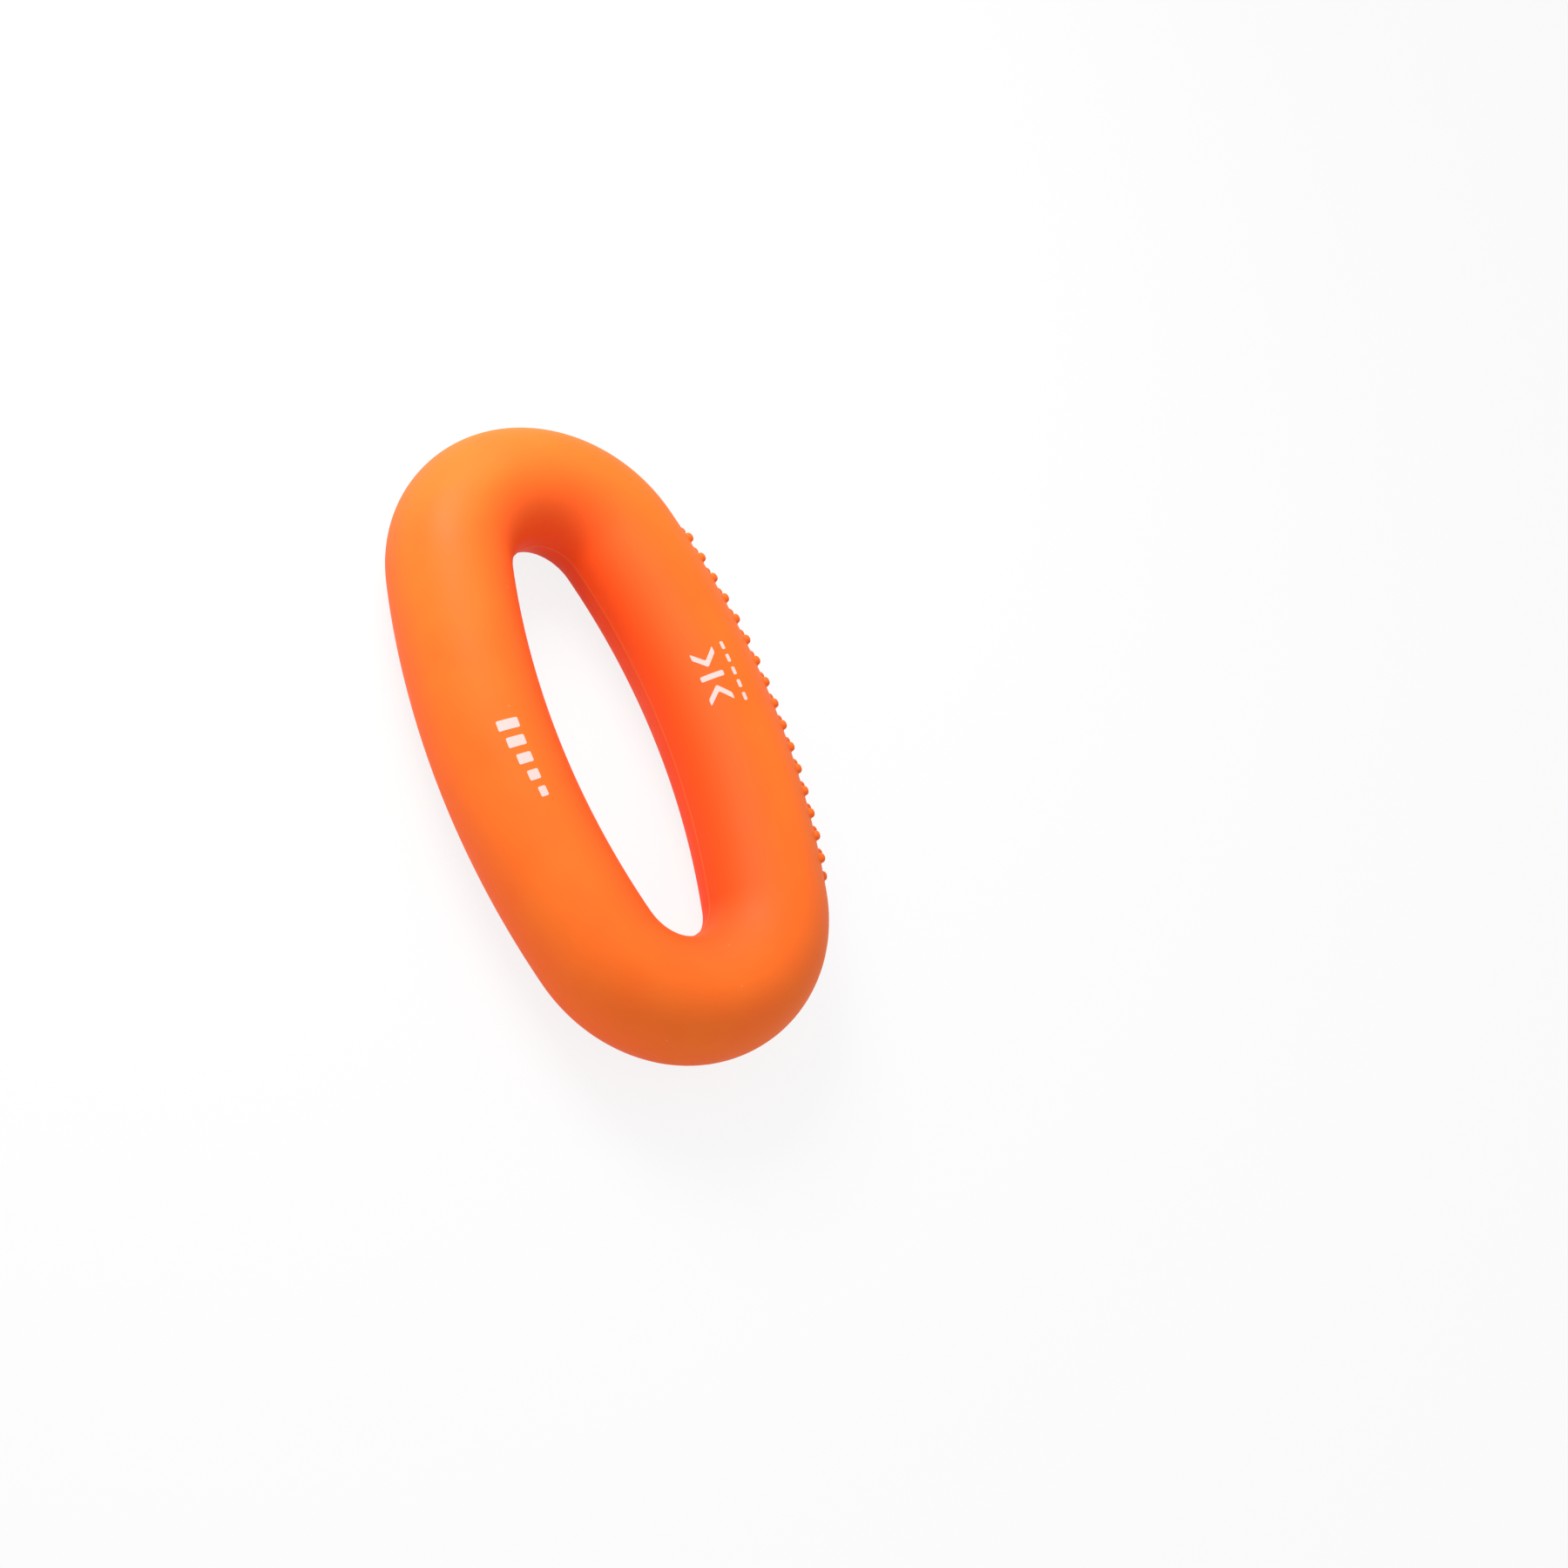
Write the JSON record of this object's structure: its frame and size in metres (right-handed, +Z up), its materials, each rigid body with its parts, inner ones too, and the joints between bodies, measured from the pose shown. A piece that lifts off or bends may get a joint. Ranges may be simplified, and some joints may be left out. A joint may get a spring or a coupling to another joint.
{
  "type": "hand grip strengthener",
  "caption": "Oval silicone hand grip ring of round section, with massage studs on the palm side and a smooth finger side, squeezed against its own spring.",
  "frame": {"origin": "middle of the ring, on the surface that it lies on", "axes": "ring flat on XY, +Z up through its thickness, +Y along its length to the upper bend, +X across it to the studded palm side"},
  "size_m": [0.071, 0.125, 0.023],
  "materials": {
    "silicone": "satin",
    "print_ink": "matte"
  },
  "bodies": {
    "palm_side": {"palm_bar": "silicone"},
    "upper_palm_shoulder": {"upper_palm_shoulder": "silicone"},
    "upper_bend": {"upper_bend": "silicone"},
    "upper_finger_shoulder": {"upper_finger_shoulder": "silicone"},
    "upper_finger_side": {"upper_finger_bar": "silicone"},
    "lower_palm_shoulder": {"lower_palm_shoulder": "silicone"},
    "lower_bend": {"lower_bend": "silicone"},
    "lower_finger_shoulder": {"lower_finger_shoulder": "silicone"},
    "lower_finger_side": {"lower_finger_bar": "silicone"}
  },
  "joints": [
    {"name": "squeeze", "type": "hinge", "parent": "palm_side", "child": "upper_palm_shoulder", "pos_m": [0.02212, 0.0197, 0.0115], "axis": [0, 0, -1], "range_deg": [0, 20], "stiffness_Nm_per_rad": 6, "deforming": ["upper_palm_shoulder"]},
    {"name": "upper_palm_bend_flex", "type": "hinge", "parent": "upper_palm_shoulder", "child": "upper_bend", "pos_m": [0.01234, 0.04654, 0.0115], "axis": [0, 0, 1], "range_deg": [0, 20], "stiffness_Nm_per_rad": 6},
    {"name": "upper_finger_bend_flex", "type": "hinge", "parent": "upper_bend", "child": "upper_finger_shoulder", "pos_m": [-0.01234, 0.04654, 0.0115], "axis": [0, 0, 1], "range_deg": [0, 20], "stiffness_Nm_per_rad": 6, "deforming": ["upper_finger_shoulder"]},
    {"name": "upper_finger_side_flex", "type": "hinge", "parent": "upper_finger_shoulder", "child": "upper_finger_side", "pos_m": [-0.02212, 0.0197, 0.0115], "axis": [0, 0, -1], "range_deg": [0, 20], "stiffness_Nm_per_rad": 6},
    {"name": "lower_palm_side_flex", "type": "hinge", "parent": "palm_side", "child": "lower_palm_shoulder", "pos_m": [0.02212, -0.0197, 0.0115], "axis": [0, 0, 1], "range_deg": [0, 20], "stiffness_Nm_per_rad": 6, "deforming": ["lower_palm_shoulder"]},
    {"name": "lower_palm_bend_flex", "type": "hinge", "parent": "lower_palm_shoulder", "child": "lower_bend", "pos_m": [0.01234, -0.04654, 0.0115], "axis": [0, 0, -1], "range_deg": [0, 20], "stiffness_Nm_per_rad": 6},
    {"name": "lower_finger_bend_flex", "type": "hinge", "parent": "lower_bend", "child": "lower_finger_shoulder", "pos_m": [-0.01234, -0.04654, 0.0115], "axis": [0, 0, -1], "range_deg": [0, 20], "stiffness_Nm_per_rad": 6, "deforming": ["lower_finger_shoulder"]},
    {"name": "lower_finger_side_flex", "type": "hinge", "parent": "lower_finger_shoulder", "child": "lower_finger_side", "pos_m": [-0.02212, -0.0197, 0.0115], "axis": [0, 0, 1], "range_deg": [0, 20], "stiffness_Nm_per_rad": 6}
  ],
  "couplings": [
    {"joint": "upper_palm_bend_flex", "follows": "squeeze", "ratio": 1},
    {"joint": "upper_finger_bend_flex", "follows": "squeeze", "ratio": 1},
    {"joint": "upper_finger_side_flex", "follows": "squeeze", "ratio": 1},
    {"joint": "lower_palm_side_flex", "follows": "squeeze", "ratio": 1},
    {"joint": "lower_palm_bend_flex", "follows": "squeeze", "ratio": 1},
    {"joint": "lower_finger_bend_flex", "follows": "squeeze", "ratio": 1},
    {"joint": "lower_finger_side_flex", "follows": "squeeze", "ratio": 1}
  ]
}
